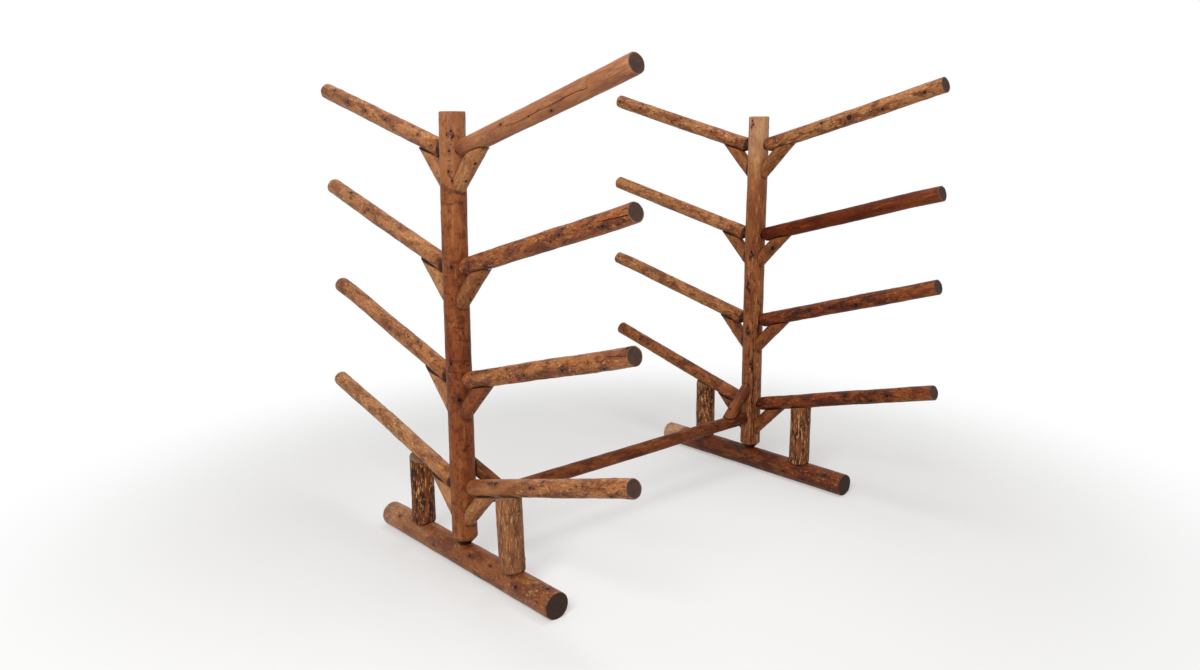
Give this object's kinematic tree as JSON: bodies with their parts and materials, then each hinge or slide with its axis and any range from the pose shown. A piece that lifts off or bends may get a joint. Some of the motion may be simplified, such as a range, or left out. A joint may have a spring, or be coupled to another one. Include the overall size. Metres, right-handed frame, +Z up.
{
  "type": "freestanding kayak rack",
  "caption": "Freestanding rustic log rack: two braced tree posts on cross logs with rising arms on both sides that hold kayaks or boards.",
  "frame": {"origin": "centre of the footprint, on the ground that the two base logs rest on", "axes": "+X from the left tree to the right tree along the rail, +Y across the rack from the front arms to the back arms, +Z up"},
  "size_m": [1.97, 2.1288, 2.0194],
  "materials": {
    "post_log": "peeled cedar log, oiled stain, satin",
    "base_log": "peeled cedar log, oiled stain, satin",
    "prop_log": "skip-peeled cedar log, oiled stain, satin",
    "arm_log": "peeled cedar log, oiled stain, satin",
    "brace_log": "peeled cedar log, oiled stain, satin",
    "rail_log": "peeled cedar log, oiled stain, satin",
    "screw_steel": "zinc plated, dull"
  },
  "bodies": {
    "root": {"left_post": "post_log", "right_post": "post_log", "left_base_log": "base_log", "right_base_log": "base_log", "left_front_prop": "prop_log", "left_back_prop": "prop_log", "right_front_prop": "prop_log", "right_back_prop": "prop_log", "left_front_arm_1": "arm_log", "left_front_arm_2": "arm_log", "left_front_arm_3": "arm_log", "left_front_arm_4": "arm_log", "left_back_arm_1": "arm_log", "left_back_arm_2": "arm_log", "left_back_arm_3": "arm_log", "left_back_arm_4": "arm_log", "right_front_arm_1": "arm_log", "right_front_arm_2": "arm_log", "right_front_arm_3": "arm_log", "right_front_arm_4": "arm_log", "right_back_arm_1": "arm_log", "right_back_arm_2": "arm_log", "right_back_arm_3": "arm_log", "right_back_arm_4": "arm_log", "left_front_brace_1": "brace_log", "left_front_brace_2": "brace_log", "left_front_brace_3": "brace_log", "left_front_brace_4": "brace_log", "left_back_brace_1": "brace_log", "left_back_brace_2": "brace_log", "left_back_brace_3": "brace_log", "left_back_brace_4": "brace_log", "right_front_brace_1": "brace_log", "right_front_brace_2": "brace_log", "right_front_brace_3": "brace_log", "right_front_brace_4": "brace_log", "right_back_brace_1": "brace_log", "right_back_brace_2": "brace_log", "right_back_brace_3": "brace_log", "right_back_brace_4": "brace_log", "bottom_rail": "rail_log", "left_rail_brace": "brace_log", "right_rail_brace": "brace_log", "left_tenon_screws": "screw_steel", "right_tenon_screws": "screw_steel", "left_brace_screws": "screw_steel", "right_brace_screws": "screw_steel", "left_prop_screws": "screw_steel", "right_prop_screws": "screw_steel", "left_lag_screws": "screw_steel", "right_lag_screws": "screw_steel", "rail_screws": "screw_steel"}
  },
  "joints": []
}
